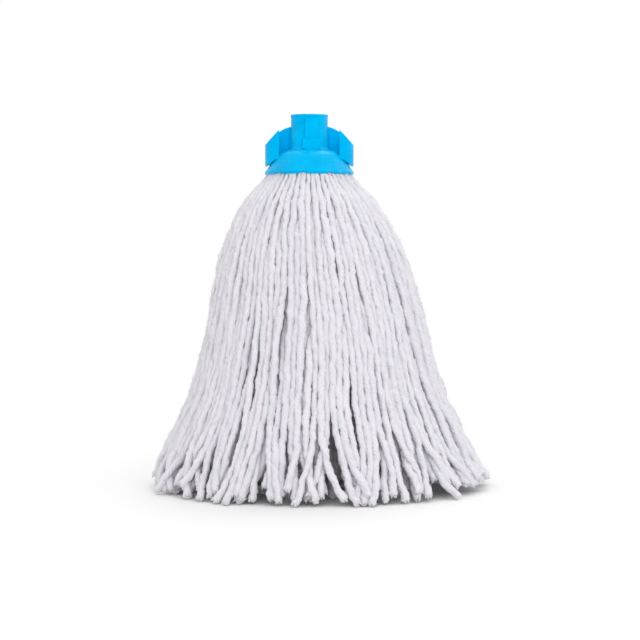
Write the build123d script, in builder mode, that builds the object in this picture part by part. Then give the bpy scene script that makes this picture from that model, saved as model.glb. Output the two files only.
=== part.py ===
"""String mop head: a screw-on plastic socket with a skirt of folded cotton strings.

Millimetres, +Z up, origin on the floor under the centre of the head. The front faces -Y.
Every string is one length of yarn folded in half over the clamp plug. Strings that lie
together and swing together share one plain solid.
"""

from build123d import *
import os
from math import cos, radians, sin, sqrt

# ---- Driving dimensions ------------------------------------------------------------

TOP_Z = 313.6               # mouth of the neck
RIM_Z = 262.9               # lower edge of the bell
RIM_RADIUS = 36.8
BELL_WALL = 2.0
BELL_RADIUS = 38.0

NECK_RADIUS = 15.6
NECK_TAPER_TOP_Z = 304.5     # the neck widens a little from here down
NECK_TAPER_FOOT_Z = 294.0
LOWER_NECK_RADIUS = 16.7
NECK_BEAD_RADIUS = 15.9
NECK_BEAD_HEIGHT = 1.6
NECK_FOOT_Z = 286.9         # where the neck starts to curve out into the bell

BORE_RADIUS = 10.2          # crest of the handle thread
BORE_FLOOR_Z = 284.5
THREAD_PITCH = 4.2
THREAD_TURNS = 7            # the groove runs out through the mouth
THREAD_DEPTH = 1.0
THREAD_ROOT_WIDTH = 1.2
THREAD_MOUTH_WIDTH = 2.0
THREAD_OVERCUT = 0.3        # how far the cutter reaches into the bore
THREAD_START_Z = 286.5
MOUTH_CHAMFER = 0.8

PAD_TURN = 6.0              # degrees, the pads sit slightly round from the front
UPPER_PAD_WIDTH = 11.0
UPPER_PAD_HEIGHT = 17.0
LOWER_PAD_WIDTH = 15.2
LOWER_PAD_HEIGHT = 9.0
PAD_BOTTOM_Z = 284.0
UPPER_PAD_FACE = 17.1       # distance of the pad's face from the axis
LOWER_PAD_FACE = 17.9
UPPER_PAD_DEPTH = 4.0
LOWER_PAD_DEPTH = 5.0

WING_REACH = 37.5           # outermost point of a wing
WING_EDGE_X = 25.4          # where the curved wall of a wing ends, towards the neck
WING_ARC_RADIUS = 13.0
WING_WALL = 2.0
WING_BOTTOM_Z = 270.3
WING_TOP_Z = 300.6          # at its edge, from where the top slopes down outwards
WING_OUTER_TOP_Z = 288.0    # at its outermost point
WEB_THICKNESS = 2.4
WEB_INNER_TOP_Z = 303.7
WEB_MIDDLE_TOP_Z = 302.2
WEB_OUTER_TOP_Z = 299.4
SLIT_TIP_RADIUS = 30.3      # the slit between a wing's foot and the flank of the bell
SLIT_TIP_HEIGHT = 0.6
SLIT_OUTER_Z = 266.7        # its upper edge, at the slit's outer radius
SLIT_OUTER_RADIUS = 40.5
SLIT_CLEARANCE = 0.1        # between the cutter and the flank

NOTCH_COUNT = 10            # the shallow scallops of the bell's lower edge
NOTCH_RADIUS = 4.2
NOTCH_DEPTH = 1.5
NOTCH_PHASE = -98.0         # degrees

ROOF_Z = 281.0              # inside of the bell at the centre
BOSS_RADIUS = 5.0
BOSS_BOTTOM_Z = 271.5
PILOT_RADIUS = 1.75
PILOT_TOP_Z = 282.5

PLUG_BOTTOM_Z = 264.0
PLUG_FLANGE_TOP_Z = 267.5
PLUG_RADIUS = 17.5
PLUG_UNDER_BEVEL = 3.0
PLUG_UNDER_BEVEL_HEIGHT = 1.5
PLUG_EDGE = 1.0
PLUG_HUB_RADIUS = 9.5
PLUG_HUB_TOP_Z = 276.0
PLUG_TOOTH_COUNT = 12
PLUG_TOOTH_HEIGHT = 3.0
PLUG_TOOTH_WIDTH = 1.6
PLUG_TOOTH_INNER_RADIUS = 11.0
SEAT_RADIUS = 6.6           # recess for the washer under the plug
SEAT_DEPTH = 1.6
FIT_GAP = 0.1

WASHER_RADIUS = 6.2
WASHER_THICKNESS = 1.2
WASHER_HOLE_RADIUS = 2.2
SCREW_RADIUS = 1.7
SCREW_LENGTH = 15.0
SCREW_POINT_LENGTH = 2.5
SCREW_POINT_RADIUS = 0.3
SCREW_HEAD_RADIUS = 3.9
SCREW_HEAD_HEIGHT = 2.4
SCREW_HEAD_BEVEL = 1.2
SCREW_RECESS_WIDTH = 1.0
SCREW_RECESS_LENGTH = 4.4
SCREW_RECESS_DEPTH = 1.3

# Outer face of the skirt of strings: (radius, height) from the bell to the floor
SKIRT_OUTLINE = [
    (39.0, 259.0),
    (66.0, 225.0),
    (85.0, 174.0),
    (100.0, 111.0),
    (121.0, 51.0),
    (146.0, 0.0),
]
SKIRT_START_DEPTH = 4.5     # across the outer layer at the bell, measured level
SKIRT_DEPTH = 10.0          # across the outer layer further down
INNER_DEPTH = 9.0           # across the inner layer
LAYER_GAP = 0.5             # clearance between the two layers
FLOOR_GAP = 0.5             # the outer strings hang this far above the floor
OUTER_TUFTS = 12
TUFT_GAP_ANGLE = 0.6        # degrees, clearance between neighbouring tufts
INNER_BUNDLES = 6

os.makedirs("parts", exist_ok=True)


def save(piece, name):
    """Label a finished piece and write it."""
    piece.part.label = name
    export_step(piece.part, f"parts/{name}.step")


# ---- Socket: neck, bell, wings and thread in one moulding --------------------------

NECK_FILLET_MIDDLE = (17.8, 284.4)
SHOULDER = (20.2, 283.5)
DOME_MIDDLE = (24.8, 281.3)
FLANK_TOP = (28.5, 277.8)
FLANK_FOOT = (37.6, 265.6)
BELL_EDGE = (BELL_RADIUS, 264.8)
HOLLOW_ROOF_RADIUS = 21.5
HOLLOW_DOME_MIDDLE = (24.6, 279.4)
HOLLOW_EDGE_RADIUS = 35.2

flank_run = FLANK_FOOT[0] - FLANK_TOP[0]
flank_drop = FLANK_TOP[1] - FLANK_FOOT[1]
flank_length = sqrt(flank_run**2 + flank_drop**2)
flank_normal = (flank_drop / flank_length, flank_run / flank_length)


def flank_point(radius, offset):
    """Point of the bell's straight flank at a radius, moved off its surface by offset."""
    height = FLANK_TOP[1] - (radius - FLANK_TOP[0]) * flank_drop / flank_run
    return (radius + offset * flank_normal[0], height + offset * flank_normal[1])


def bell_outline():
    """Outside of the bell, from the neck's foot to the rim."""
    ThreePointArc((LOWER_NECK_RADIUS, NECK_FOOT_Z), NECK_FILLET_MIDDLE, SHOULDER)
    ThreePointArc(SHOULDER, DOME_MIDDLE, FLANK_TOP)
    Polyline(FLANK_TOP, FLANK_FOOT, BELL_EDGE, (RIM_RADIUS, RIM_Z))


def bell_hollow():
    """Outline of the room inside the bell, around the boss that hangs from its roof."""
    rim_radius = RIM_RADIUS - BELL_WALL
    flank_top = flank_point(FLANK_TOP[0], -BELL_WALL)
    edge_height = flank_point(HOLLOW_EDGE_RADIUS + BELL_WALL * flank_normal[0], -BELL_WALL)[1]
    roof = (HOLLOW_ROOF_RADIUS, ROOF_Z)
    Polyline(
        (0, RIM_Z - 1),
        (rim_radius, RIM_Z - 1),
        (rim_radius, RIM_Z),
        (HOLLOW_EDGE_RADIUS, edge_height),
        flank_top,
    )
    ThreePointArc(flank_top, HOLLOW_DOME_MIDDLE, roof)
    Polyline(
        roof,
        (BOSS_RADIUS, ROOF_Z),
        (BOSS_RADIUS, BOSS_BOTTOM_Z),
        (0, BOSS_BOTTOM_Z),
        (0, RIM_Z - 1),
    )


with BuildPart() as socket_cap:
    with BuildSketch(Plane.XZ):
        with BuildLine():
            bell_outline()
            Polyline(
                (RIM_RADIUS, RIM_Z),
                (0, RIM_Z),
                (0, TOP_Z),
                (NECK_BEAD_RADIUS, TOP_Z),
                (NECK_BEAD_RADIUS, TOP_Z - NECK_BEAD_HEIGHT),
                (NECK_RADIUS, TOP_Z - NECK_BEAD_HEIGHT - (NECK_BEAD_RADIUS - NECK_RADIUS)),
                (NECK_RADIUS, NECK_TAPER_TOP_Z),
                (LOWER_NECK_RADIUS, NECK_TAPER_FOOT_Z),
                (LOWER_NECK_RADIUS, NECK_FOOT_Z),
            )
        make_face()
    revolve(axis=Axis.Z)

    # Wings: a curved finger wall on a flat web, one on each side of the neck
    arc_centre_x = WING_REACH - WING_ARC_RADIUS
    top_slope = (WING_TOP_Z - WING_OUTER_TOP_Z) / (WING_REACH - WING_EDGE_X)
    for side in (1, -1):
        with BuildSketch(Plane.XY.offset(WING_BOTTOM_Z)):
            with Locations((side * arc_centre_x, 0)):
                Circle(WING_ARC_RADIUS)
                Circle(WING_ARC_RADIUS - WING_WALL, mode=Mode.SUBTRACT)
            with Locations((side * (WING_EDGE_X - WING_ARC_RADIUS), 0)):
                Rectangle(2 * WING_ARC_RADIUS, 4 * WING_ARC_RADIUS, mode=Mode.SUBTRACT)
        extrude(amount=WING_TOP_Z - WING_BOTTOM_Z)
        with BuildSketch(Plane.XZ):
            with BuildLine():
                ThreePointArc(
                    (side * NECK_RADIUS, WEB_INNER_TOP_Z),
                    (side * (NECK_RADIUS + WING_EDGE_X) / 2, WEB_MIDDLE_TOP_Z),
                    (side * WING_EDGE_X, WEB_OUTER_TOP_Z),
                )
                Polyline(
                    (side * WING_EDGE_X, WEB_OUTER_TOP_Z),
                    (side * (WING_REACH - WING_WALL / 2), WING_OUTER_TOP_Z),
                    (side * (WING_REACH - WING_WALL / 2), WING_BOTTOM_Z),
                    (side * SLIT_TIP_RADIUS, WING_BOTTOM_Z),
                    (side * NECK_RADIUS, ROOF_Z),
                    (side * NECK_RADIUS, WEB_INNER_TOP_Z),
                )
            make_face()
        extrude(amount=WEB_THICKNESS / 2, both=True)
        with BuildSketch(Plane.XZ):
            with BuildLine():
                Polyline(
                    (side * (WING_EDGE_X - 1), WING_TOP_Z + top_slope),
                    (side * (WING_REACH + 1), WING_OUTER_TOP_Z - top_slope),
                    (side * (WING_REACH + 1), TOP_Z),
                    (side * (WING_EDGE_X - 1), TOP_Z),
                    close=True,
                )
            make_face()
        extrude(amount=2 * WING_ARC_RADIUS, both=True, mode=Mode.SUBTRACT)

    # The slit under each wing's foot
    with BuildSketch(Plane.XZ):
        with BuildLine():
            slit_tip = flank_point(SLIT_TIP_RADIUS, SLIT_CLEARANCE)
            Polyline(
                slit_tip,
                (slit_tip[0], slit_tip[1] + SLIT_TIP_HEIGHT),
                (SLIT_OUTER_RADIUS, SLIT_OUTER_Z),
                (SLIT_OUTER_RADIUS, RIM_Z),
                (BELL_RADIUS + SLIT_CLEARANCE, RIM_Z),
                (BELL_RADIUS + SLIT_CLEARANCE, BELL_EDGE[1]),
                flank_point(FLANK_FOOT[0], SLIT_CLEARANCE),
                close=True,
            )
        make_face()
    revolve(axis=Axis.Z, mode=Mode.SUBTRACT)

    # The room inside the bell
    with BuildSketch(Plane.XZ):
        with BuildLine():
            bell_hollow()
        make_face()
    revolve(axis=Axis.Z, mode=Mode.SUBTRACT)

    # Front and back pads on the neck
    for turn in (PAD_TURN, PAD_TURN + 180):
        pad_plane = Plane.XY.rotated((0, 0, turn))
        with BuildSketch(pad_plane.offset(PAD_BOTTOM_Z)):
            with Locations((0, -LOWER_PAD_FACE + LOWER_PAD_DEPTH / 2)):
                Rectangle(LOWER_PAD_WIDTH, LOWER_PAD_DEPTH)
        extrude(amount=LOWER_PAD_HEIGHT)
        with BuildSketch(pad_plane.offset(PAD_BOTTOM_Z)):
            with Locations((0, -UPPER_PAD_FACE + UPPER_PAD_DEPTH / 2)):
                Rectangle(UPPER_PAD_WIDTH, UPPER_PAD_DEPTH)
        extrude(amount=LOWER_PAD_HEIGHT + UPPER_PAD_HEIGHT)

    # Bore for the handle
    with BuildSketch(Plane.XY.offset(TOP_Z)):
        Circle(BORE_RADIUS)
    extrude(amount=BORE_FLOOR_Z - TOP_Z, mode=Mode.SUBTRACT)
    mouth_edge = socket_cap.edges().filter_by(GeomType.CIRCLE).group_by(Axis.Z)[-1].sort_by(SortBy.RADIUS)[0]
    chamfer(mouth_edge, MOUTH_CHAMFER)

    # Pilot hole for the screw that pulls the plug up
    with BuildSketch(Plane.XY.offset(BOSS_BOTTOM_Z)):
        Circle(PILOT_RADIUS)
    extrude(amount=PILOT_TOP_Z - BOSS_BOTTOM_Z, mode=Mode.SUBTRACT)

    # Scallops of the rim
    for index in range(NOTCH_COUNT):
        angle = NOTCH_PHASE + index * 360 / NOTCH_COUNT
        direction = (cos(radians(angle)), sin(radians(angle)), 0)
        notch_plane = Plane(
            origin=(0, 0, RIM_Z + NOTCH_DEPTH - NOTCH_RADIUS),
            x_dir=(-direction[1], direction[0], 0),
            z_dir=direction,
        )
        with BuildSketch(notch_plane.offset(RIM_RADIUS - 2 * BELL_WALL)):
            Circle(NOTCH_RADIUS)
        extrude(amount=4 * BELL_WALL, mode=Mode.SUBTRACT)

    # Handle thread: one coarse groove cut into the wall of the bore
    with BuildLine() as thread_path:
        Helix(
            pitch=THREAD_PITCH,
            height=THREAD_PITCH * THREAD_TURNS,
            radius=BORE_RADIUS,
            center=(0, 0, THREAD_START_Z),
        )
    start_plane = Plane(
        origin=thread_path.line @ 0,
        x_dir=(1, 0, 0),
        z_dir=thread_path.line % 0,
    )
    with BuildSketch(start_plane):
        with BuildLine():
            Polyline(
                (-THREAD_OVERCUT, -THREAD_MOUTH_WIDTH / 2),
                (0, -THREAD_MOUTH_WIDTH / 2),
                (THREAD_DEPTH, -THREAD_ROOT_WIDTH / 2),
                (THREAD_DEPTH, THREAD_ROOT_WIDTH / 2),
                (0, THREAD_MOUTH_WIDTH / 2),
                (-THREAD_OVERCUT, THREAD_MOUTH_WIDTH / 2),
                close=True,
            )
        make_face()
    sweep(path=thread_path.line, is_frenet=True, mode=Mode.SUBTRACT)

save(socket_cap, "socket_cap")


# ---- Clamp plug, washer and screw --------------------------------------------------

seat_top_z = PLUG_BOTTOM_Z + SEAT_DEPTH

with BuildPart() as clamp_plug:
    with BuildSketch(Plane.XZ):
        with BuildLine():
            Polyline(
                (0, PLUG_BOTTOM_Z),
                (PLUG_RADIUS - PLUG_UNDER_BEVEL, PLUG_BOTTOM_Z),
                (PLUG_RADIUS, PLUG_BOTTOM_Z + PLUG_UNDER_BEVEL_HEIGHT),
                (PLUG_RADIUS, PLUG_FLANGE_TOP_Z - PLUG_EDGE),
                (PLUG_RADIUS - PLUG_EDGE, PLUG_FLANGE_TOP_Z),
                (PLUG_HUB_RADIUS, PLUG_FLANGE_TOP_Z + PLUG_EDGE),
                (PLUG_HUB_RADIUS - PLUG_EDGE, PLUG_HUB_TOP_Z),
                (0, PLUG_HUB_TOP_Z),
                close=True,
            )
        make_face()
    revolve(axis=Axis.Z)
    tooth_outer_radius = PLUG_RADIUS - PLUG_EDGE
    with BuildSketch(Plane.XY.offset(PLUG_FLANGE_TOP_Z - PLUG_EDGE)):
        with PolarLocations((tooth_outer_radius + PLUG_TOOTH_INNER_RADIUS) / 2, PLUG_TOOTH_COUNT):
            Rectangle(tooth_outer_radius - PLUG_TOOTH_INNER_RADIUS, PLUG_TOOTH_WIDTH)
    extrude(amount=PLUG_TOOTH_HEIGHT + PLUG_EDGE)
    with Locations((0, 0, PLUG_HUB_TOP_Z)):
        Hole(BOSS_RADIUS + FIT_GAP, PLUG_HUB_TOP_Z - BOSS_BOTTOM_Z + FIT_GAP)
    with Locations((0, 0, PLUG_BOTTOM_Z + SEAT_DEPTH / 2)):
        Cylinder(SEAT_RADIUS, SEAT_DEPTH, mode=Mode.SUBTRACT)
        Hole(WASHER_HOLE_RADIUS)

save(clamp_plug, "clamp_plug")

with BuildPart() as plug_washer:
    with BuildSketch(Plane.XY.offset(seat_top_z - WASHER_THICKNESS)):
        Circle(WASHER_RADIUS)
        Circle(WASHER_HOLE_RADIUS, mode=Mode.SUBTRACT)
    extrude(amount=WASHER_THICKNESS)

save(plug_washer, "plug_washer")

head_top_z = seat_top_z - WASHER_THICKNESS

with BuildPart() as plug_screw:
    with BuildSketch(Plane.XZ):
        with BuildLine():
            Polyline(
                (0, head_top_z - SCREW_HEAD_HEIGHT),
                (SCREW_HEAD_RADIUS - SCREW_HEAD_BEVEL, head_top_z - SCREW_HEAD_HEIGHT),
                (SCREW_HEAD_RADIUS, head_top_z - SCREW_HEAD_HEIGHT / 2),
                (SCREW_HEAD_RADIUS, head_top_z),
                (SCREW_RADIUS, head_top_z),
                (SCREW_RADIUS, head_top_z + SCREW_LENGTH - SCREW_POINT_LENGTH),
                (SCREW_POINT_RADIUS, head_top_z + SCREW_LENGTH),
                (0, head_top_z + SCREW_LENGTH),
                close=True,
            )
        make_face()
    revolve(axis=Axis.Z)
    with BuildSketch(Plane.XY.offset(head_top_z - SCREW_HEAD_HEIGHT)):
        Rectangle(SCREW_RECESS_LENGTH, SCREW_RECESS_WIDTH)
        Rectangle(SCREW_RECESS_WIDTH, SCREW_RECESS_LENGTH)
    extrude(amount=SCREW_RECESS_DEPTH, mode=Mode.SUBTRACT)

save(plug_screw, "plug_screw")


# ---- Strings -----------------------------------------------------------------------

YARN_GAP = 0.8              # clearance of the folded strings inside the bell
CROWN_INNER_RADIUS = PLUG_HUB_RADIUS + YARN_GAP / 2
CROWN_TOP_RADIUS = 20.8
CROWN_TOP_Z = ROOF_Z - YARN_GAP
CROWN_BOTTOM_Z = 260.6
CROWN_FOOT_TAPER = 0.6
CROWN_UNDER_Z = PLUG_FLANGE_TOP_Z + PLUG_TOOTH_HEIGHT + YARN_GAP / 2

with BuildPart() as folded_strings:
    with BuildSketch(Plane.XZ):
        with BuildLine():
            Polyline(
                (CROWN_INNER_RADIUS, CROWN_UNDER_Z),
                (CROWN_INNER_RADIUS, CROWN_TOP_Z),
                (CROWN_TOP_RADIUS, CROWN_TOP_Z),
                flank_point(FLANK_TOP[0], -BELL_WALL - YARN_GAP),
                flank_point(FLANK_FOOT[0], -BELL_WALL - 2 * YARN_GAP),
                (RIM_RADIUS - BELL_WALL - YARN_GAP, RIM_Z),
                (RIM_RADIUS - BELL_WALL - YARN_GAP - CROWN_FOOT_TAPER, CROWN_BOTTOM_Z),
                (PLUG_RADIUS + YARN_GAP, CROWN_BOTTOM_Z),
                (PLUG_RADIUS + YARN_GAP, CROWN_UNDER_Z),
                close=True,
            )
        make_face()
    revolve(axis=Axis.Z)

save(folded_strings, "folded_strings")


def layer_outline(level_in, start_in, floor_z):
    """The skirt's outline moved inwards, by start_in at the bell and level_in further down."""
    first, *rest = SKIRT_OUTLINE
    points = [(first[0] - start_in, first[1])]
    points += [(radius - level_in, max(height, floor_z)) for radius, height in rest]
    return points


def skirt_sector(outer, inner, start_angle, sweep_angle):
    """Revolve the strip between two outlines through one sector of the skirt."""
    plane = Plane.XZ.rotated((0, 0, start_angle))
    with BuildPart() as sector:
        with BuildSketch(plane):
            with BuildLine():
                Spline(*outer)
                Line(outer[-1], inner[-1])
                Spline(*reversed(inner))
                Line(inner[0], outer[0])
            make_face()
        revolve(axis=Axis.Z, revolution_arc=sweep_angle)
    return sector


inner_face = layer_outline(SKIRT_DEPTH + LAYER_GAP, SKIRT_START_DEPTH + LAYER_GAP, 0)
hollow_face = layer_outline(
    SKIRT_DEPTH + LAYER_GAP + INNER_DEPTH, SKIRT_START_DEPTH + LAYER_GAP + INNER_DEPTH, 0
)
bundle_angle = 360 / INNER_BUNDLES
for index in range(INNER_BUNDLES):
    bundle = skirt_sector(inner_face, hollow_face, index * bundle_angle, bundle_angle)
    save(bundle, f"inner_strings_{index + 1}")

outer_face = layer_outline(0, 0, FLOOR_GAP)
back_face = layer_outline(SKIRT_DEPTH, SKIRT_START_DEPTH, FLOOR_GAP)
tuft_angle = 360 / OUTER_TUFTS
for index in range(OUTER_TUFTS):
    start = index * tuft_angle - tuft_angle / 2 + TUFT_GAP_ANGLE / 2
    tuft = skirt_sector(outer_face, back_face, start, tuft_angle - TUFT_GAP_ANGLE)
    save(tuft, f"outer_strings_{index + 1}")
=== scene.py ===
"""String mop head: materials, strings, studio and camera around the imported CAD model.

The strings are routed by the skirt's outline, settled against each other by a small
relaxation, and built as twisted plied yarn with frayed ends and stray fibres.
Working sizes are millimetres, turned to metres where a mesh is made.
"""

import math

import bpy
import numpy as np
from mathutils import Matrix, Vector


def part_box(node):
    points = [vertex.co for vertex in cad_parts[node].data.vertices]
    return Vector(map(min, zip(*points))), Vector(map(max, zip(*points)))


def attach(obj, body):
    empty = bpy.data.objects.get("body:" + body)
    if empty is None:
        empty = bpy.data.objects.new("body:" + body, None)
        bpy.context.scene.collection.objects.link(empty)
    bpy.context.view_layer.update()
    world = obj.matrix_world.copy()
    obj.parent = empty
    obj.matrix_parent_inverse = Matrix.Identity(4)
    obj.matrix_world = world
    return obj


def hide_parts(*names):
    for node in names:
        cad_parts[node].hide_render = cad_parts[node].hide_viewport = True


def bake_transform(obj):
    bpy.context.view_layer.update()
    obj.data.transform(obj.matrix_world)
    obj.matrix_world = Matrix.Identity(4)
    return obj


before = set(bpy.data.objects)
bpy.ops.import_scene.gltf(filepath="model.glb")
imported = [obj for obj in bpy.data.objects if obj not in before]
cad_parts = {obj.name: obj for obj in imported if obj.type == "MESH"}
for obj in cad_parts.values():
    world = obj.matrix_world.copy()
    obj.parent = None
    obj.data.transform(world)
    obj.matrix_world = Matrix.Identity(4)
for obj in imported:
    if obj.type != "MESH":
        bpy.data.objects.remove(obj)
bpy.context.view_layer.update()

MM = 0.001
SEED = 41
rng = np.random.default_rng(SEED)

# ---- Sizes -------------------------------------------------------------------------

RIM_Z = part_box("socket_cap")[0].z / MM
YARN_RADIUS = 2.9
PACKED_RADIUS = 1.8         # where the strings are squeezed in the bell
SWELL_START = 12.0          # along a string from its top, where it starts to swell
SWELL_LENGTH = 36.0
TUFTS = 12
BUNDLES = 6
ROWS = [33.0, 29.5, 26.0]   # radii of the outer strings in the bell's mouth
ROW_DEPTHS = [0.0, 3.6, 7.2]
TUFT_PATTERN = [0, 1, 0, 2, 0, 1, 0, 1, 0, 2]    # row of each string of a tuft
INNER_ROWS = [25.6, 22.4, 19.4]
INNER_DEPTH = 11.0          # of the inner strings behind the skirt's face, at the bell
NEAR_DEPTHS = (4.0, 8.0)    # and further down, for two inner strings of three
FAR_DEPTHS = (9.0, 70.0)    # the same for the third, which hangs inside the skirt
INNER_OPENING = 120.0       # length over which they go from the one depth to the other
OUTER_COUNT = TUFTS * len(TUFT_PATTERN)
INNER_COUNT = 132
DECLARED = 40               # strings that go furthest, each a piece of its own
KEPT_IN_TUFT = 3            # strings of each tuft, at least, that stay in its shared piece

# Outer face of the skirt (radius, height), from the bell to the floor and out along it
SKIRT = [
    (34.9, 265.5),
    (38.6, 260.3),
    (54.4, 243.0),
    (69.0, 218.5),
    (80.0, 191.0),
    (88.0, 160.0),
    (95.5, 127.0),
    (106.0, 86.0),
    (122.0, 50.0),
    (134.5, 25.0),
    (142.5, 9.0),
    (151.0, 1.5),
    (190.0, 1.5),
]
LEAN = 6.8                  # how far the skirt leans to +X below its shoulder
LEAN_FROM_Z = 262.0
LEAN_TO_Z = 120.0
STRING_POINTS = 92
INSIDE_LENGTH = 17.0        # of each string inside the bell
OUTSIDE_LENGTH = 282.0
LENGTH_SPREAD = 5.5         # standard deviation of their length outside
FLOOR_TOUCH = 0.05          # nothing of a string is lower than this


def smoothstep(x):
    x = np.clip(x, 0.0, 1.0)
    return x * x * (3 - 2 * x)


# ---- Strings: routes ---------------------------------------------------------------


def spline_through(points, count):
    """Catmull-Rom curve through 2-D points, resampled evenly along its length."""
    p = np.array(points, float)
    p = np.vstack([2 * p[0] - p[1], p, 2 * p[-1] - p[-2]])
    u = np.linspace(0, 1, 40, endpoint=False)[:, None]
    parts = []
    for a, b, c, d in zip(p[:-3], p[1:-2], p[2:-1], p[3:]):
        parts.append(
            0.5 * (2 * b + (c - a) * u + (2 * a - 5 * b + 4 * c - d) * u**2
                   + (3 * b - a - 3 * c + d) * u**3)
        )
    curve = np.vstack(parts + [p[-2:-1]])
    along = np.concatenate([[0], np.cumsum(np.linalg.norm(np.diff(curve, axis=0), axis=1))])
    even = np.linspace(0, along[-1], count)
    return even, np.stack([np.interp(even, along, curve[:, k]) for k in range(2)], axis=1)


PROFILE_T, PROFILE = spline_through(SKIRT, 400)
PROFILE_IN = np.gradient(PROFILE, axis=0)
PROFILE_IN = np.stack([PROFILE_IN[:, 1], -PROFILE_IN[:, 0]], axis=1)
PROFILE_IN /= np.linalg.norm(PROFILE_IN, axis=1)[:, None]


def at_height(z):
    """Distance along the profile at which the skirt is at height z."""
    falling = PROFILE[:, 1][::-1]
    return float(np.interp(z, falling, PROFILE_T[::-1]))


WAVE_LENGTHS = (0.8, 1.25)  # by which each wave's own length differs
WAVE_SPREAD = 0.35          # and its height


def waves(t, amplitudes, wavelengths):
    """Sum of sines with random phases and slightly random wavelengths."""
    out = np.zeros_like(t)
    for amplitude, wavelength in zip(amplitudes, wavelengths):
        length = wavelength * rng.uniform(*WAVE_LENGTHS)
        out += amplitude * rng.normal(1, WAVE_SPREAD) * np.sin(2 * math.pi * (t / length + rng.random()))
    return out


CLUMP_STEPS = (0.08, 0.20)  # radians from a clump to the next
CLUMP_END_GAP = 0.09        # the clumps end once one is this near to a full turn, or past it


def clump_centres():
    """Azimuths that neighbouring strings gather towards near the floor."""
    centres = [0.0]
    while centres[-1] < 2 * math.pi - CLUMP_END_GAP:
        centres.append(centres[-1] + rng.uniform(*CLUMP_STEPS))
    return np.array(centres)


CLUMPS = clump_centres()
CLUMP_START_Z = 140
CLUMP_END_Z = 25
CURL_Z = 22
T_CLUMP_START, T_CLUMP_END = at_height(CLUMP_START_Z), at_height(CLUMP_END_Z)
T_CURL = at_height(CURL_Z)
LEFT_CORNER = math.radians(186)
LEFT_CORNER_WIDTH = math.radians(22)
RIGHT_CORNER = math.radians(-12)
RIGHT_CORNER_WIDTH = math.radians(25)
RIGHT_SPREAD = 10.0         # how far the right corner reaches out past the rest
RIGHT_SPREAD_LENGTH = 24.0  # along a string, over which it does
CURL_IN = 0.028             # of the left corner, by the distance past its start, squared
CURL_ASIDE = 0.038
SPLAY = 0.0028              # of single strings' ends, the same way
SPLAY_LEAD = 40.0           # before the clumps' end, where single strings start to splay
GATHER = 0.20               # share of the way to the clump's middle that strings go
GATHER_RANGE = (0.4, 1.3)   # and how that differs from string to string
LOOSE_FROM = 20.0           # along the face, where strings begin to wander more
LOOSE_LENGTH = 120.0
SIDE_START = 0.3            # share of the side waves at the bell
SIDE_GAIN = 0.9             # and how much is added to it where strings are loose
DEPTH_WAVES = (0.8, 0.6), (170, 70)               # amplitudes and wavelengths
SIDE_WAVES = (1.5, 0.8, 0.5), (210, 90, 40)
ROUTE_FROM = 5.0            # along the face, where the part outside the bell begins
ROUTE_STEP = 2.0
INSIDE_STEPS = [(8.0, 11.0), (3.5, 9.0), (0.8, 5.0), (0.0, 1.0)]    # inward of the rim's row, above the rim
INNERMOST = 11.5            # no string's top is nearer to the axis


def route(azimuth, start_radius, depth_start, depth_end, open_start, open_length):
    """Points of one string from inside the bell to its tip, evenly spaced."""
    length = OUTSIDE_LENGTH + rng.normal(0, LENGTH_SPREAD)
    t = np.arange(ROUTE_FROM, PROFILE_T[-1], ROUTE_STEP)
    face = np.stack([np.interp(t, PROFILE_T, PROFILE[:, k]) for k in range(2)], axis=1)
    inward = np.stack([np.interp(t, PROFILE_T, PROFILE_IN[:, k]) for k in range(2)], axis=1)
    opening = smoothstep((t - open_start) / open_length)
    depth = depth_start * (1 - opening) + depth_end * opening + YARN_RADIUS
    loose = smoothstep((t - LOOSE_FROM) / LOOSE_LENGTH)
    depth = depth + loose * waves(t, *DEPTH_WAVES)
    radius, height = (face + inward * depth[:, None]).T

    sideways = (SIDE_START + SIDE_GAIN * loose) * waves(t, *SIDE_WAVES)
    nearest = CLUMPS[np.argmin(np.abs((CLUMPS - azimuth + math.pi) % (2 * math.pi) - math.pi))]
    offset = (azimuth - nearest + math.pi) % (2 * math.pi) - math.pi
    gather = smoothstep((t - T_CLUMP_START) / (T_CLUMP_END - T_CLUMP_START))
    sideways = sideways - offset * radius * GATHER * gather * rng.uniform(*GATHER_RANGE)

    # The left corner curls under and forward, the right one spreads out along the floor
    corner = math.exp(-(((azimuth - LEFT_CORNER) / LEFT_CORNER_WIDTH) ** 2))
    past = np.maximum(t - T_CURL, 0)
    from_right = (azimuth - RIGHT_CORNER + math.pi) % (2 * math.pi) - math.pi
    spread = math.exp(-((from_right / RIGHT_CORNER_WIDTH) ** 2))
    radius = radius - corner * CURL_IN * past**2
    radius = radius + RIGHT_SPREAD * spread * smoothstep((t - T_CLUMP_END) / RIGHT_SPREAD_LENGTH)
    sideways = sideways + corner * CURL_ASIDE * past**2
    sideways = sideways + rng.normal(0, SPLAY) * np.maximum(t - T_CLUMP_END + SPLAY_LEAD, 0) ** 2

    angle = azimuth + sideways / np.maximum(radius, 1)
    lean = LEAN * smoothstep((LEAN_FROM_Z - height) / (LEAN_FROM_Z - LEAN_TO_Z))
    height = np.maximum(height, YARN_RADIUS)
    outside = np.stack([radius * np.cos(angle) + lean, radius * np.sin(angle), height], axis=1)

    first = np.array([math.cos(azimuth), math.sin(azimuth), 0])
    inside = [
        first * max(start_radius - inward_of, INNERMOST) + [0, 0, RIM_Z + above]
        for inward_of, above in INSIDE_STEPS
    ]
    points = np.vstack([inside, outside])
    along = np.concatenate([[0], np.cumsum(np.linalg.norm(np.diff(points, axis=0), axis=1))])
    even = np.linspace(0, min(INSIDE_LENGTH + length, along[-1]), STRING_POINTS)
    return np.stack([np.interp(even, along, points[:, k]) for k in range(3)], axis=1)


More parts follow.
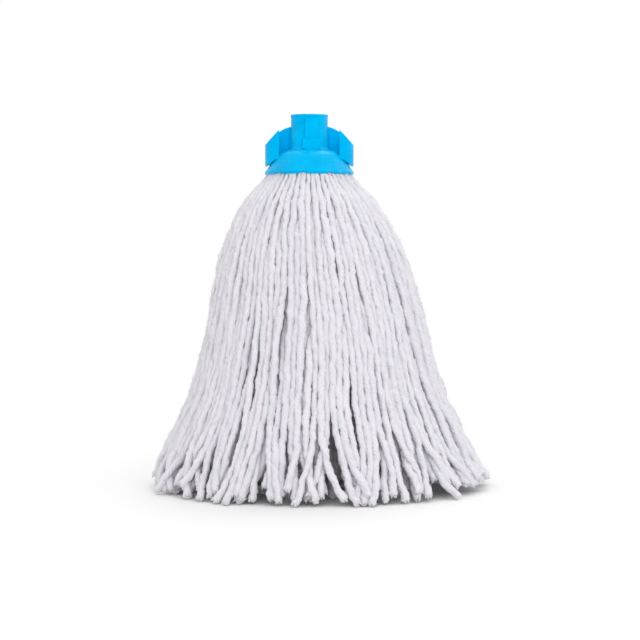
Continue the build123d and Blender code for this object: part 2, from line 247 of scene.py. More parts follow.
OUTER_JITTER = 0.25         # of a string's place around the skirt, in spacings
INNER_JITTER = 0.3
ROW_OPENING = 75.0          # how much further down each row comes to the skirt's face
OPENING_LEADS = (10, 60)    # and how much sooner than that single strings do
OPENING_LENGTHS = (50, 80)
FACE_DEPTH = 0.9            # spread of the outer strings' depth behind the face


def all_routes():
    """Routes of every string: the outer layer tuft by tuft, then the inner one."""
    routes = []
    half_tuft = math.pi / TUFTS
    for index in range(OUTER_COUNT):
        place = index + 0.5 + rng.uniform(-OUTER_JITTER, OUTER_JITTER)
        azimuth = 2 * math.pi * place / OUTER_COUNT - half_tuft
        row = TUFT_PATTERN[index % len(TUFT_PATTERN)]
        open_start = ROW_OPENING * row - rng.uniform(*OPENING_LEADS)
        open_length = rng.uniform(*OPENING_LENGTHS)
        depth_end = abs(rng.normal(0, FACE_DEPTH))
        azimuth %= 2 * math.pi
        routes.append(route(azimuth, ROWS[row], ROW_DEPTHS[row], depth_end, open_start, open_length))
    for index in range(INNER_COUNT):
        place = index + 0.5 + rng.uniform(-INNER_JITTER, INNER_JITTER)
        azimuth = 2 * math.pi * place / INNER_COUNT
        depth_end = rng.uniform(*(NEAR_DEPTHS if index % 3 < 2 else FAR_DEPTHS))
        routes.append(route(azimuth, INNER_ROWS[index % 3], INNER_DEPTH, depth_end, 0.0, INNER_OPENING))
    return np.array(routes)


def yarn_radius(along):
    """Radius of a string at a distance from its top end."""
    return PACKED_RADIUS + (YARN_RADIUS - PACKED_RADIUS) * smoothstep((along - SWELL_START) / SWELL_LENGTH)


# ---- Strings: settling against each other ------------------------------------------

CELL = 8.5
REACH = 0.95                # of a cell, within which points count as near
SOFTNESS = 0.92             # strings that touch press into each other a little
HURRY = 1.5                 # over-relaxation of each push
STRAIGHTEN = 0.22           # share of the way to its neighbours' middle that a point goes
PULL = 0.10                 # back to the route, in the bell
PULL_LOST = 0.075           # of it further down
PULL_EASES_FROM = 0.04      # share of the string's length
PULL_EASES_OVER = 0.3
HELD = 0.055                # share of each string, in the bell, that doesn't move
PAIRS_EVERY = 6             # rounds between searches for near points
NEIGHBOUR_OFFSETS = [
    (x, y, z) for x in (-1, 0, 1) for y in (-1, 0, 1) for z in (-1, 0, 1) if (x, y, z) >= (0, 0, 0)
]


def near_pairs(points, owner, reach):
    """Index pairs of points of different strings that are nearer than reach."""
    cell = np.floor(points / CELL).astype(np.int64)
    cell -= cell.min(axis=0) - 1
    span = cell.max(axis=0) + 2
    key = (cell[:, 0] * span[1] + cell[:, 1]) * span[2] + cell[:, 2]
    order = np.argsort(key, kind="stable")
    ranked = key[order]
    found = []
    for offset in NEIGHBOUR_OFFSETS:
        shift = (offset[0] * span[1] + offset[1]) * span[2] + offset[2]
        start = np.searchsorted(ranked, key + shift, "left")
        count = np.searchsorted(ranked, key + shift, "right") - start
        first = np.repeat(np.arange(len(points)), count)
        step = np.arange(count.sum()) - np.repeat(np.cumsum(count) - count, count)
        second = order[np.repeat(start, count) + step]
        keep = owner[first] != owner[second]
        if shift == 0:
            keep &= first < second
        first, second = first[keep], second[keep]
        near = np.linalg.norm(points[first] - points[second], axis=1) < reach
        found.append(np.stack([first[near], second[near]]))
    return np.concatenate(found, axis=1)


def push_apart(points, radii, pairs):
    """Moves overlapping points of different strings apart, each by its average push."""
    first, second = pairs
    gap = points[second] - points[first]
    distance = np.maximum(np.linalg.norm(gap, axis=1), 1e-6)
    overlap = np.maximum(radii[first] + radii[second] - distance, 0)
    push = gap * (0.5 * overlap / distance)[:, None]
    touching = overlap > 0
    first, second, push = first[touching], second[touching], push[touching]
    size = len(points)
    hits = np.bincount(first, minlength=size) + np.bincount(second, minlength=size)
    moved = np.empty_like(points)
    for axis in range(3):
        moved[:, axis] = np.bincount(second, push[:, axis], size) - np.bincount(first, push[:, axis], size)
    return points + moved / np.maximum(hits, 1)[:, None] * HURRY


def settle(routes, rounds):
    """Relaxes the routes so that strings lie beside and over each other, not in each other."""
    strings, count, _ = routes.shape
    guide = routes.copy()
    x = routes.copy()
    rest = np.linalg.norm(np.diff(routes, axis=1), axis=2)
    owner = np.repeat(np.arange(strings), count)
    station = np.arange(count) / (count - 1)
    radii = np.tile(yarn_radius(station * (INSIDE_LENGTH + OUTSIDE_LENGTH)) * SOFTNESS, strings)
    pull = (PULL - PULL_LOST * smoothstep((station - PULL_EASES_FROM) / PULL_EASES_OVER))[None, :, None]
    held = int(count * HELD)
    for turn in range(rounds):
        x += pull * (guide - x)
        if turn % PAIRS_EVERY == 0:
            pairs = near_pairs(x.reshape(-1, 3), owner, CELL * REACH)
        flat = push_apart(x.reshape(-1, 3), radii, pairs)
        x = flat.reshape(strings, count, 3)
        x[:, 1:-1] += STRAIGHTEN * ((x[:, :-2] + x[:, 2:]) / 2 - x[:, 1:-1])
        for start in (0, 1):
            a, b = x[:, start:-1:2], x[:, start + 1::2]
            step = b - a
            size = np.linalg.norm(step, axis=2)
            wanted = rest[:, start::2]
            fix = step * (0.5 * (1 - wanted / np.maximum(size, 1e-6)))[:, :, None]
            a += fix
            b -= fix
        x[:, :, 2] = np.maximum(x[:, :, 2], YARN_RADIUS)
        x[:, :held] = guide[:, :held]
    return x


# ---- Strings: yarn meshes ----------------------------------------------------------

RING_STEP = 1.5
SIDES = 20
PLIES = 5
PLY_PITCH = 17.0
PITCH_RANGE = (0.85, 1.2)
TWIST_WAVES = (1.1, 0.5), (90, 35)
SLUB_WAVES = (0.035, 0.03, 0.02), (70, 25, 11)
OVAL = 0.05                 # share of the radius by which a yarn is out of round
OVAL_TURN = 0.3             # share of the plies' twist by which that turns
END_FLARE = 0.15            # of its radius, at the cut end
END_FLARE_LENGTH = 5.0
GROOVE_RADIUS = 0.88        # of the radius, in the grooves between plies
PLY_RISE = 0.13             # and how far the plies stand above them
ROUGHNESS = 0.07
ROUGH_SHARE = 1.4           # divides the sum of two neighbours' roughness
SIZE_SPREAD = 0.04          # from one yarn to the next
TIP_RING = 0.7, 0.6         # past the end, and share of its radius, of the ring that rounds it
TIP = 0.9                   # past the end, of the yarn's last point
# Unevenness of a yarn: (lobes around it, length along it, share of its radius)
LUMPS = [(1, 26.0, 0.12), (1, 11.0, 0.08), (2, 6.0, 0.045), (3, 4.5, 0.04), (2, 3.6, 0.04)]
CONTROL_EVERY = 3           # route points to one control point of the NURBS line
ANY_SIDE = [0.3, 0.9, 0.2]  # a direction that no string's top runs along


def nurbs_lines(routes):
    """Each route's own smooth NURBS line, as evenly spaced ring centres."""
    data = bpy.data.curves.new("string_routes", "CURVE")
    data.dimensions = "3D"
    data.resolution_u = 8
    picks = list(range(0, STRING_POINTS - 1, CONTROL_EVERY)) + [STRING_POINTS - 1]
    for line in routes:
        spline = data.splines.new("NURBS")
        spline.points.add(len(picks) - 1)
        for point, pick in zip(spline.points, picks):
            point.co = (*line[pick], 1.0)
        spline.order_u = 3
        spline.use_endpoint_u = True
    holder = bpy.data.objects.new("string_routes", data)
    bpy.context.scene.collection.objects.link(holder)
    bpy.context.view_layer.update()
    mesh = bpy.data.meshes.new_from_object(holder)
    points = np.empty(len(mesh.vertices) * 3)
    mesh.vertices.foreach_get("co", points)
    lines = points.reshape(len(routes), -1, 3)
    bpy.data.objects.remove(holder)
    bpy.data.meshes.remove(mesh)
    rings = int(round((INSIDE_LENGTH + OUTSIDE_LENGTH) / RING_STEP))
    even = []
    for line in lines:
        along = np.concatenate([[0], np.cumsum(np.linalg.norm(np.diff(line, axis=0), axis=1))])
        at = np.linspace(0, along[-1], rings)
        even.append(np.stack([np.interp(at, along, line[:, k]) for k in range(3)], axis=1))
    return np.array(even)


def frames(lines):
    """Tangent and two sides at every ring, turned as little as possible along each line."""
    tangent = np.gradient(lines, axis=1)
    tangent /= np.linalg.norm(tangent, axis=2)[:, :, None]
    side = np.empty_like(lines)
    across = np.cross(tangent[:, 0], ANY_SIDE)
    side[:, 0] = across / np.linalg.norm(across, axis=1)[:, None]
    for k in range(1, lines.shape[1]):
        moved = side[:, k - 1] - tangent[:, k] * (side[:, k - 1] * tangent[:, k]).sum(1)[:, None]
        side[:, k] = moved / np.linalg.norm(moved, axis=1)[:, None]
    return tangent, side, np.cross(tangent, side)


def yarn_shape(lines):
    """Surface distance of every string for every ring and side, and its twist at each ring."""
    strings, rings, _ = lines.shape
    along = np.arange(rings) * RING_STEP
    turn = np.linspace(0, 2 * math.pi, SIDES, endpoint=False)
    pitch = PLY_PITCH * rng.uniform(*PITCH_RANGE, strings)
    start = rng.random(strings) * 2 * math.pi
    twist = start[:, None] + 2 * math.pi * along[None, :] / pitch[:, None]
    twist = twist + np.stack([waves(along, *TWIST_WAVES) for _ in range(strings)])
    lobe = np.abs(np.cos(PLIES / 2 * (turn[None, None, :] + twist[:, :, None])))
    own = rng.normal(1, SIZE_SPREAD, strings)
    slubs = np.stack([waves(along, *SLUB_WAVES) for _ in range(strings)])
    flat = 1 + OVAL * np.cos(2 * (turn[None, None, :] - OVAL_TURN * twist[:, :, None]))
    left = (rings - 1 - np.arange(rings)) * RING_STEP
    flare = 1 + END_FLARE * np.exp(-left / END_FLARE_LENGTH)
    surface = (own[:, None] * (1 + slubs) * yarn_radius(along)[None, :] * flare[None, :])[:, :, None]
    rough = rng.normal(0, ROUGHNESS, (strings, rings, SIDES))
    rough = (rough + np.roll(rough, 1, axis=2)) / ROUGH_SHARE
    for lobes, length, size in LUMPS:
        phase = rng.random((strings, 1, 1)) * 2 * math.pi
        rate = 2 * math.pi / (length * rng.uniform(*WAVE_LENGTHS, (strings, 1, 1)))
        rough = rough + size * np.cos(lobes * turn[None, None, :] + rate * along[None, :, None] + phase)
    return surface * flat * (GROOVE_RADIUS + PLY_RISE * lobe + rough), twist


def tube(centres, side, over, surface, tangent, twist):
    """One yarn: vertices, quads, triangles and strand coordinates, closed at both ends."""
    rings = len(centres)
    turn = np.linspace(0, 2 * math.pi, SIDES, endpoint=False)
    around = side[:, None] * np.cos(turn)[None, :, None] + over[:, None] * np.sin(turn)[None, :, None]
    body = centres[:, None] + around * surface[:, :, None]
    end = centres[-1] + tangent[-1] * TIP_RING[0] + around[-1] * surface[-1][:, None] * TIP_RING[1]
    vertices = np.vstack([body.reshape(-1, 3), end, centres[-1] + tangent[-1] * TIP, centres[0]])
    ring = np.arange(rings + 1)[:, None] * SIDES + np.arange(SIDES)[None, :]
    after = np.roll(ring, -1, axis=1)
    quads = np.stack([ring[:-1], after[:-1], after[1:], ring[1:]], axis=-1).reshape(-1, 4)
    tip_index, top_index = len(vertices) - 2, len(vertices) - 1
    caps = np.vstack([
        np.stack([ring[-1], after[-1], np.full(SIDES, tip_index)], axis=-1),
        np.stack([after[0], ring[0], np.full(SIDES, top_index)], axis=-1),
    ])
    u = (np.arange(SIDES) / SIDES)[None, :] + np.append(twist, twist[-1])[:, None] / (2 * math.pi)
    v = np.broadcast_to(np.append(np.arange(rings), rings)[:, None] * RING_STEP * MM, u.shape)
    low, high = np.stack([u, v], axis=-1), np.stack([u + 1 / SIDES, v], axis=-1)
    quad_uv = np.stack([low[:-1], high[:-1], high[1:], low[1:]], axis=2).reshape(-1, 4, 2)
    cap_uv = np.concatenate([
        np.stack([low[-1], high[-1], low[-1]], axis=1), np.stack([high[0], low[0], low[0]], axis=1)
    ])
    return vertices, quads, caps, quad_uv, cap_uv


# ---- Strings: loose fibres and frayed ends -----------------------------------------

OUTER_FIBRES = 360          # to one outer string
INNER_FIBRES = 130          # to one inner string
SHORTEST_FIBRE = 1.2
FIBRE_EXCESS = 1.9          # average length above the shortest, before the limit below
LONGEST_FIBRE = 9.0
FIBRE_ROOT = 0.88           # share of the yarn's radius at which fibres start
FIBRE_LIE = 0.9             # how far they lean along the yarn
FIBRE_SIDE = 0.6            # share of that around it
FIBRE_BEND = 0.55           # share of a fibre's length up to its bend
FIBRE_PAST = 0.5            # and past it
FIBRE_TURN = 0.65           # change of direction at the bend
FIBRE_RADII = (0.06, 0.11)
FIBRE_TIP = 0.35            # share of the radius left at the tip
FRAY_STRANDS = 9            # at the cut end of each string
STRAND_DEPTHS = (0.25, 0.78)    # share of the yarn's radius at which they lie
STRAND_OVERLAP = 1.5        # how far they start inside the yarn
STRAND_LENGTHS = (0.8, 2.8)
STRAND_BEND = 0.4           # share of a strand's length up to its bend
STRAND_PAST = 0.6           # and past it
STRAND_OUT = 0.25           # how far the bend stands out
STRAND_FLARES = (0.0, 0.35)     # and how far the rest goes out, by its length
STRAND_BEND_Z = 0.8         # lowest middle of a strand at its bend, and at its end
STRAND_END_Z = 0.6
STRAND_RADII = (0.65, 0.95)
STRAND_TIP = 0.55           # share of the radius left at the tip


def tapered(start, bend, end, thick, thin, sides, steps):
    """Bent tapered fibres as (vertices, quads, triangles, strand coordinates)."""
    count = len(start)
    t = np.linspace(0, 1, steps)[None, :, None]
    centres = (1 - t) ** 2 * start[:, None] + 2 * t * (1 - t) * bend[:, None] + t**2 * end[:, None]
    tangent = np.gradient(centres, axis=1)
    across = np.cross(tangent, rng.normal(size=(count, 1, 3)))
    across /= np.maximum(np.linalg.norm(across, axis=2), 1e-9)[:, :, None]
    over = np.cross(tangent, across)
    over /= np.maximum(np.linalg.norm(over, axis=2), 1e-9)[:, :, None]
    turn = np.linspace(0, 2 * math.pi, sides, endpoint=False)[None, None, :, None]
    size = (thick[:, None] + (thin - thick)[:, None] * t[:, :, 0])[:, :, None, None]
    body = centres[:, :, None] + size * (across[:, :, None] * np.cos(turn) + over[:, :, None] * np.sin(turn))
    ring = np.arange(steps)[:, None] * sides + np.arange(sides)[None, :]
    after = np.roll(ring, -1, axis=1)
    quads = np.stack([ring[:-1], after[:-1], after[1:], ring[1:]], axis=-1).reshape(-1, 4)
    caps = np.array([[ring[-1, k], ring[-1, k + 1], ring[-1, 0]] for k in range(1, sides - 1)])[:, [2, 0, 1]]
    starts = (np.arange(count) * steps * sides)[:, None, None]
    quads = (quads[None] + starts).reshape(-1, 4)
    caps = (caps[None] + starts).reshape(-1, 3)
    return body.reshape(-1, 3), quads, caps, np.zeros((len(quads), 4, 2)), np.zeros((len(caps), 3, 2))


def unit(v):
    return v / np.linalg.norm(v, axis=-1)[..., None]


def stray_fibres(k):
    """Fine fibres that stand off one string outside the bell."""
    count = OUTER_FIBRES if k < OUTER_COUNT else INNER_FIBRES
    ring = rng.integers(int((INSIDE_LENGTH - 2) / RING_STEP), len(lines[k]) - 1, count)
    turn = rng.random(count) * 2 * math.pi
    out = sides[k][ring] * np.cos(turn)[:, None] + overs[k][ring] * np.sin(turn)[:, None]
    round_side = np.cross(tangents[k][ring], out)
    start = lines[k][ring] + out * yarn_radius(ring * RING_STEP)[:, None] * FIBRE_ROOT
    length = np.minimum(SHORTEST_FIBRE + rng.exponential(FIBRE_EXCESS, count), LONGEST_FIBRE)
    lie = rng.normal(0, FIBRE_LIE, (count, 2))
    way = unit(out + tangents[k][ring] * lie[:, :1] + round_side * lie[:, 1:] * FIBRE_SIDE)
    bend = start + way * length[:, None] * FIBRE_BEND
    turned = unit(way + rng.normal(0, FIBRE_TURN, way.shape))
    end = bend + turned * length[:, None] * FIBRE_PAST
    thick = rng.uniform(*FIBRE_RADII, count)
    return tapered(start, bend, end, thick, thick * FIBRE_TIP, sides=3, steps=4)


def frayed_end(k):
    """The strands of a string's cut end, slightly parted."""
    turn = np.linspace(0, 2 * math.pi, FRAY_STRANDS, endpoint=False) + rng.random(FRAY_STRANDS)
    out = sides[k][-1] * np.cos(turn)[:, None] + overs[k][-1] * np.sin(turn)[:, None]
    depth = rng.uniform(*STRAND_DEPTHS, FRAY_STRANDS)[:, None] * YARN_RADIUS
    start = lines[k][-1] - tangents[k][-1] * STRAND_OVERLAP + out * depth
    length = rng.uniform(*STRAND_LENGTHS, FRAY_STRANDS)[:, None]
    bend = start + tangents[k][-1] * (STRAND_OVERLAP + length * STRAND_BEND) + out * STRAND_OUT
    flare = rng.uniform(*STRAND_FLARES, (FRAY_STRANDS, 1))
    end = bend + tangents[k][-1] * length * STRAND_PAST + out * length * flare
    end[:, 2] = np.maximum(end[:, 2], STRAND_END_Z)
    bend[:, 2] = np.maximum(bend[:, 2], STRAND_BEND_Z)
    thick = rng.uniform(*STRAND_RADII, FRAY_STRANDS)
    return tapered(start, bend, end, thick, thick * STRAND_TIP, sides=6, steps=5)


def build_mesh(name, parts, tones, material):
    """One mesh object from parts made above, smooth shaded, with a tone for each part."""
    points, quads, triangles, quad_uvs, triangle_uvs = zip(*parts)
    vertices = np.vstack(points) * MM
    vertices[:, 2] = np.maximum(vertices[:, 2], FLOOR_TOUCH * MM)
    starts = np.cumsum([0] + [len(part) for part in points[:-1]])
    quads = np.vstack([part + start for part, start in zip(quads, starts)])
    triangles = np.vstack([part + start for part, start in zip(triangles, starts)])
    loops = np.concatenate([quads.ravel(), triangles.ravel()]).astype(np.int32)
    sizes = np.concatenate([np.full(len(quads), 4), np.full(len(triangles), 3)]).astype(np.int32)
    mesh = bpy.data.meshes.new(name)
    mesh.vertices.add(len(vertices))
    mesh.vertices.foreach_set("co", vertices.astype(np.float32).ravel())
    mesh.loops.add(len(loops))
    mesh.loops.foreach_set("vertex_index", loops)
    mesh.polygons.add(len(sizes))
    loop_starts = np.concatenate([[0], np.cumsum(sizes[:-1])])
    mesh.polygons.foreach_set("loop_start", loop_starts.astype(np.int32))
    mesh.update(calc_edges=True)
    mesh.polygons.foreach_set("use_smooth", np.ones(len(sizes), bool))
    strand = np.concatenate([uv.reshape(-1, 2) for uv in quad_uvs + triangle_uvs])
    mesh.uv_layers.new(name="Strand").data.foreach_set("uv", strand.astype(np.float32).ravel())
    tone = np.concatenate([np.full(len(part), value) for part, value in zip(points, tones)])
    mesh.attributes.new("tone", "FLOAT", "POINT").data.foreach_set("value", tone.astype(np.float32))
    mesh.materials.append(material)
    piece = bpy.data.objects.new(name, mesh)
    bpy.context.scene.collection.objects.link(piece)
    return piece


# ---- Materials ---------------------------------------------------------------------

# The yarn's relief gives its bump and also the painted shade in its colour
STREAKS = (16.0, 300.0, 1.0)      # of the fibres: per turn of the yarn, and per metre of it
FLUFF_SHARE = 1.3                 # of the fine fluff in the yarn's relief
PLY_SHARE = 0.36                  # of the plies in it


def new_material(name):
    """An empty node material with its shader, and a short way to add nodes."""
    material = bpy.data.materials.new(name)
    material.use_nodes = True
    nodes, links = material.node_tree.nodes, material.node_tree.links

    def add(kind, inputs=(), **settings):
        node = nodes.new(kind)
        for key, value in settings.items():
            setattr(node, key, value)
        for key, value in dict(inputs).items():
            if isinstance(value, bpy.types.NodeSocket):
                links.new(value, node.inputs[key])
            else:
                node.inputs[key].default_value = value
        return node

    return material, nodes["Principled BSDF"], add, links


def ramp(add, factor, stops):
    """A colour ramp over factor with (position, colour) stops."""
    node = add("ShaderNodeValToRGB", {"Fac": factor})
    first, last = node.color_ramp.elements
    (first.position, first.color), (last.position, last.color) = stops[0], stops[-1]
    for position, colour in stops[1:-1]:
        node.color_ramp.elements.new(position).color = colour
    return node.outputs["Color"]


def cotton_material():
    """Soft twisted cotton: plies and fibre streaks along the helix, mottled, with painted shade in the
    grooves between plies and the relief's low places, and a slight sheen.
    """
    material, shader, add, links = new_material("cotton_yarn")
    strand = add("ShaderNodeUVMap", uv_map="Strand").outputs["UV"]
    split = add("ShaderNodeSeparateXYZ", {"Vector": strand})
    turns = add("ShaderNodeMath", {0: split.outputs["X"], 1: math.pi * PLIES}, operation="MULTIPLY")
    wave = add("ShaderNodeMath", {0: turns.outputs[0]}, operation="COSINE")
    ply = add("ShaderNodeMath", {0: wave.outputs[0]}, operation="ABSOLUTE").outputs[0]
    stretched = add("ShaderNodeVectorMath", {0: strand, 1: STREAKS}, operation="MULTIPLY")
    streaks = add("ShaderNodeTexNoise", {"Vector": stretched.outputs[0], "Scale": 1.0, "Detail": 3.0})
    place = add("ShaderNodeTexCoord").outputs["Object"]
    fluff = add("ShaderNodeTexNoise", {"Vector": place, "Scale": 620.0, "Detail": 4.0, "Roughness": 0.75})
    mottle = add("ShaderNodeTexNoise", {"Vector": place, "Scale": 160.0, "Detail": 3.0, "Roughness": 0.6})
    own = add("ShaderNodeAttribute", attribute_name="tone").outputs["Fac"]
    mixed = add("ShaderNodeMath", {0: mottle.outputs["Fac"], 1: 0.5, 2: own}, operation="MULTIPLY_ADD")
    colour = ramp(add, mixed.outputs[0], [
        (0.10, (0.720, 0.710, 0.768, 1)),
        (0.45, (0.775, 0.757, 0.810, 1)),
        (0.80, (0.805, 0.788, 0.832, 1)),
        (1.00, (0.815, 0.770, 0.812, 1)),
    ])
    lumpy = add("ShaderNodeMath", {
        0: fluff.outputs["Fac"], 1: FLUFF_SHARE, 2: streaks.outputs["Fac"],
    }, operation="MULTIPLY_ADD")
    relief = add("ShaderNodeMath", {0: ply, 1: PLY_SHARE, 2: lumpy.outputs[0]}, operation="MULTIPLY_ADD")
    height = relief.outputs[0]
    # Painted shade: the relief's low places, the grooves between the plies, are darkened in the base colour
    painted_shade_factor = add("ShaderNodeMapRange", {"Value": height, "From Min": 0.75, "From Max": 1.75})
    shade = ramp(add, painted_shade_factor.outputs["Result"], [
        (0.0, (0.72, 0.72, 0.735, 1)),
        (0.4, (0.92, 0.92, 0.925, 1)),
        (1.0, (1.0, 1.0, 1.0, 1)),
    ])
    shaded = add("ShaderNodeMix", {0: 1.0, 6: colour, 7: shade}, data_type="RGBA", blend_type="MULTIPLY")
    links.new(shaded.outputs[2], shader.inputs["Base Color"])
    bump = add("ShaderNodeBump", {"Strength": 0.8, "Distance": 0.0007, "Height": height})
    links.new(bump.outputs["Normal"], shader.inputs["Normal"])
    shader.inputs["Roughness"].default_value = 0.95
    shader.inputs["Specular IOR Level"].default_value = 0.1
    shader.inputs["Sheen Weight"].default_value = 0.25
    shader.inputs["Sheen Roughness"].default_value = 0.6
    return material


def fibre_material():
    """Loose cotton fibres: nearly the yarn's white, without its relief."""
    material, shader, add, links = new_material("cotton_fibre")
    own = add("ShaderNodeAttribute", attribute_name="tone").outputs["Fac"]
    colour = ramp(add, own, [(0.0, (0.76, 0.75, 0.80, 1)), (1.0, (0.84, 0.82, 0.86, 1))])
    links.new(colour, shader.inputs["Base Color"])
    shader.inputs["Roughness"].default_value = 0.9
    shader.inputs["Specular IOR Level"].default_value = 0.1
    return material


def plastic_material():
    """Glossy moulded cyan plastic with faint flow marks and softened edges."""
    material, shader, add, links = new_material("blue_plastic")
    place = add("ShaderNodeTexCoord").outputs["Object"]
    flow = add("ShaderNodeTexNoise", {"Vector": place, "Scale": 55.0, "Detail": 3.0, "Roughness": 0.6})
    colour = ramp(add, flow.outputs["Fac"], [
        (0.30, (0.000, 0.385, 0.715, 1)),
        (0.55, (0.000, 0.435, 0.785, 1)),
        (0.75, (0.000, 0.480, 0.830, 1)),
    ])
    links.new(colour, shader.inputs["Base Color"])
    scuff = add("ShaderNodeTexNoise", {"Vector": place, "Scale": 420.0, "Detail": 5.0, "Roughness": 0.65})
    gloss = add("ShaderNodeMapRange", {"Value": scuff.outputs["Fac"], "To Min": 0.20, "To Max": 0.36})
    links.new(gloss.outputs["Result"], shader.inputs["Roughness"])
    edge = add("ShaderNodeBevel", {"Radius": 0.0010}, samples=6)
    bump = add("ShaderNodeBump", {
        "Strength": 0.12, "Distance": 0.0004, "Height": flow.outputs["Fac"], "Normal": edge.outputs["Normal"],
    })
    links.new(bump.outputs["Normal"], shader.inputs["Normal"])
    shader.inputs["Specular IOR Level"].default_value = 0.15
    shader.inputs["Subsurface Weight"].default_value = 0.3
    shader.inputs["Subsurface Radius"].default_value = (0.2, 0.8, 1.0)
    shader.inputs["Subsurface Scale"].default_value = 0.004
    shader.inputs["Specular Tint"].default_value = (0.00, 0.62, 0.98, 1)
    return material


def steel_material():
    """Zinc-plated steel of the plug's screw and washer."""
    material, shader, add, links = new_material("zinc_steel")
    place = add("ShaderNodeTexCoord").outputs["Object"]
    grain = add("ShaderNodeTexNoise", {"Vector": place, "Scale": 700.0, "Detail": 4.0})
    colour = ramp(add, grain.outputs["Fac"], [(0.3, (0.50, 0.51, 0.54, 1)), (0.7, (0.68, 0.69, 0.71, 1))])
    links.new(colour, shader.inputs["Base Color"])
    gloss = add("ShaderNodeMapRange", {"Value": grain.outputs["Fac"], "To Min": 0.25, "To Max": 0.45})
    links.new(gloss.outputs["Result"], shader.inputs["Roughness"])
    shader.inputs["Metallic"].default_value = 1.0
    return material


# ---- Building the strings ----------------------------------------------------------

SETTLE_ROUNDS = 170
TONE = 0.35                 # middle of the strings' own tones
TONE_SPREAD = 0.13
LIGHTEST_TONE = 0.75

cotton = cotton_material()
fibre = fibre_material()

routes = all_routes()
routes = settle(routes, SETTLE_ROUNDS)
lines = nurbs_lines(routes)
tangents, sides, overs = frames(lines)
surfaces, twists = yarn_shape(lines)
tones = np.clip(rng.normal(TONE, TONE_SPREAD, len(lines)), 0, LIGHTEST_TONE)
yarns = [
    tube(lines[k], sides[k], overs[k], surfaces[k], tangents[k], twists[k]) for k in range(len(lines))
]
ends = [frayed_end(k) for k in range(len(lines))]
fibres = [stray_fibres(k) for k in range(len(lines))]

per_tuft = OUTER_COUNT // TUFTS
per_bundle = INNER_COUNT // BUNDLES
reach = np.linalg.norm(routes[:OUTER_COUNT, -1, :2], axis=1)
ranked = np.argsort(-reach)
most = per_tuft - KEPT_IN_TUFT
taken = [k for k in ranked if (reach[k // per_tuft * per_tuft:][:per_tuft] > reach[k]).sum() < most]
declared = sorted(int(k) for k in taken[:DECLARED])


def bend_at_rim(piece):
    """Bakes the transform of a piece of the outer skirt into its mesh."""
    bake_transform(piece)


def yarn_piece(name, members):
    """The yarns and frayed ends of the given strings as one piece."""
    parts = [yarns[k] for k in members] + [ends[k] for k in members]
    return build_mesh(name, parts, [tones[k] for k in members] * 2, cotton)


def fibre_piece(name, members):
    """The loose fibres of the given strings as one piece."""
    return build_mesh(name, [fibres[k] for k in members], [tones[k] for k in members], fibre)


for tuft in range(TUFTS):
    members = range(tuft * per_tuft, (tuft + 1) * per_tuft)
    piece = yarn_piece(f"outer_yarn_{tuft + 1}", [k for k in members if k not in declared])
    bend_at_rim(piece)
    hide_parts(f"outer_strings_{tuft + 1}")
    bend_at_rim(fibre_piece(f"outer_fibres_{tuft + 1}", members))

for rank, k in enumerate(declared):
    piece = yarn_piece(f"string_{rank + 1}", [k])
    bend_at_rim(piece)

for bundle in range(BUNDLES):
    first = OUTER_COUNT + bundle * per_bundle
    members = range(first, first + per_bundle)
    piece = yarn_piece(f"inner_yarn_{bundle + 1}", members)
    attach(piece, "mop_head")
    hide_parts(f"inner_strings_{bundle + 1}")
    if bundle == 0:
        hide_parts("folded_strings")
    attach(fibre_piece(f"inner_fibres_{bundle + 1}", members), "mop_head")

# ---- Socket, plug and fixings ------------------------------------------------------


def give(node, material):
    """Puts one material on a CAD node."""
    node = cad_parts[node]
    node.data.materials.clear()
    node.data.materials.append(material)


plastic = plastic_material()
steel = steel_material()
give("socket_cap", plastic)
give("clamp_plug", plastic)
give("plug_washer", steel)
give("plug_screw", steel)

# ---- Studio and camera -------------------------------------------------------------

FLOOR_HALF = 6.0
FLOOR_COLOUR = (0.790, 0.788, 0.785, 1)
WORLD_SIDES = [(0.0, 0.62), (0.18, 0.66), (0.42, 1.0), (0.68, 1.0), (0.88, 0.80), (1.0, 0.72)]
WORLD_FRONT = 1.42          # strength towards the camera's side
WORLD_BACK = 1.01
SUN_ENERGY = 0.80
SUN_SOFTNESS = math.radians(35)
SUN_TURN = (math.radians(-32), math.radians(6), 0)
SOFTBOX_SIZE = (1.0, 0.8)
SOFTBOX_ENERGY = 4.0
SOFTBOX_PLACE = (0.25, -1.7, 0.60)
SOFTBOX_TURN = (math.radians(75), 0, math.radians(8))
CAMERA_PLACE = (0.009, -1.556, 0.201)
CAMERA_AIM = (0.009, 0.0, 0.140)
CAMERA_SENSOR = 36
CAMERA_LENS = 103

floor_mesh = bpy.data.meshes.new("floor")
floor_mesh.from_pydata(
    [(-FLOOR_HALF, -FLOOR_HALF, 0), (FLOOR_HALF, -FLOOR_HALF, 0), (FLOOR_HALF, FLOOR_HALF, 0),
     (-FLOOR_HALF, FLOOR_HALF, 0)], [], [(0, 1, 2, 3)])
floor = bpy.data.objects.new("floor", floor_mesh)
bpy.context.scene.collection.objects.link(floor)
floor_material = bpy.data.materials.new("floor")
floor_material.use_nodes = True
floor_shader = floor_material.node_tree.nodes["Principled BSDF"]
floor_shader.inputs["Base Color"].default_value = FLOOR_COLOUR
floor_shader.inputs["Roughness"].default_value = 0.9
floor_shader.inputs["Specular IOR Level"].default_value = 0.1
floor_mesh.materials.append(floor_material)


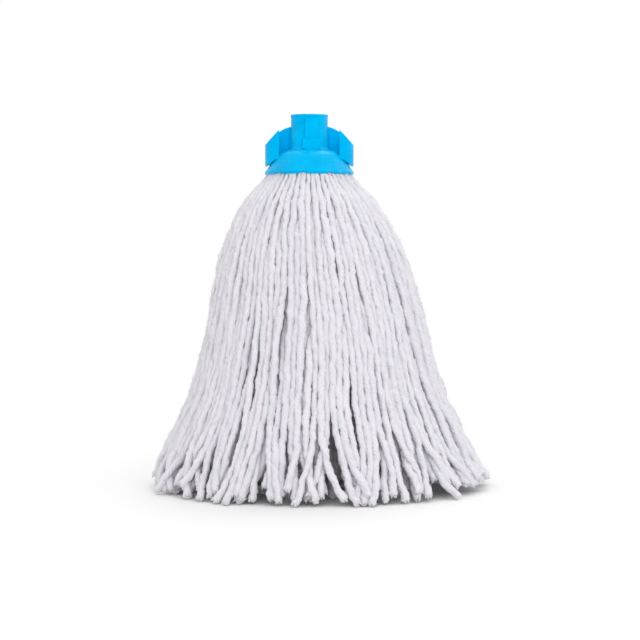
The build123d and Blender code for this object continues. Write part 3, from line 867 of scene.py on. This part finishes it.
def studio_world():
    """A pale studio: darker towards the sides, most on the left, and brighter towards the front."""
    world = bpy.data.worlds.new("studio")
    world.use_nodes = True
    nodes, links = world.node_tree.nodes, world.node_tree.links
    direction = nodes.new("ShaderNodeTexCoord")
    split = nodes.new("ShaderNodeSeparateXYZ")
    links.new(direction.outputs["Generated"], split.inputs["Vector"])
    side = nodes.new("ShaderNodeMapRange")
    side.inputs["From Min"].default_value = -1.0
    links.new(split.outputs["X"], side.inputs["Value"])
    shade = nodes.new("ShaderNodeValToRGB")
    elements = shade.color_ramp.elements
    for index, (position, value) in enumerate(WORLD_SIDES):
        element = elements[index] if index < 2 else elements.new(position)
        element.position = position
        element.color = (value, value, value, 1)
    links.new(side.outputs["Result"], shade.inputs["Fac"])
    links.new(shade.outputs["Color"], nodes["Background"].inputs["Color"])
    front = nodes.new("ShaderNodeMapRange")
    front.inputs["From Min"].default_value = -1.0
    front.inputs["To Min"].default_value = WORLD_FRONT
    front.inputs["To Max"].default_value = WORLD_BACK
    links.new(split.outputs["Y"], front.inputs["Value"])
    links.new(front.outputs["Result"], nodes["Background"].inputs["Strength"])
    return world


bpy.context.scene.world = studio_world()

sun_data = bpy.data.lights.new("key", "SUN")
sun_data.energy = SUN_ENERGY
sun_data.angle = SUN_SOFTNESS
sun = bpy.data.objects.new("key", sun_data)
sun.rotation_euler = SUN_TURN
bpy.context.scene.collection.objects.link(sun)

bpy.context.scene.view_settings.view_transform = "Standard"

softbox_data = bpy.data.lights.new("softbox", "AREA")
softbox_data.shape = "RECTANGLE"
softbox_data.size = SOFTBOX_SIZE[0]
softbox_data.size_y = SOFTBOX_SIZE[1]
softbox_data.energy = SOFTBOX_ENERGY
softbox = bpy.data.objects.new("softbox", softbox_data)
softbox.location = SOFTBOX_PLACE
softbox.rotation_euler = SOFTBOX_TURN
bpy.context.scene.collection.objects.link(softbox)

camera_data = bpy.data.cameras.new("camera")
camera_data.sensor_width = CAMERA_SENSOR
camera_data.lens = CAMERA_LENS
camera = bpy.data.objects.new("camera", camera_data)
camera.location = CAMERA_PLACE
direction = np.array(CAMERA_AIM) - np.array(CAMERA_PLACE)
camera.rotation_euler = (math.atan2(direction[1], -direction[2]), 0, 0)
bpy.context.scene.collection.objects.link(camera)
bpy.context.scene.camera = camera
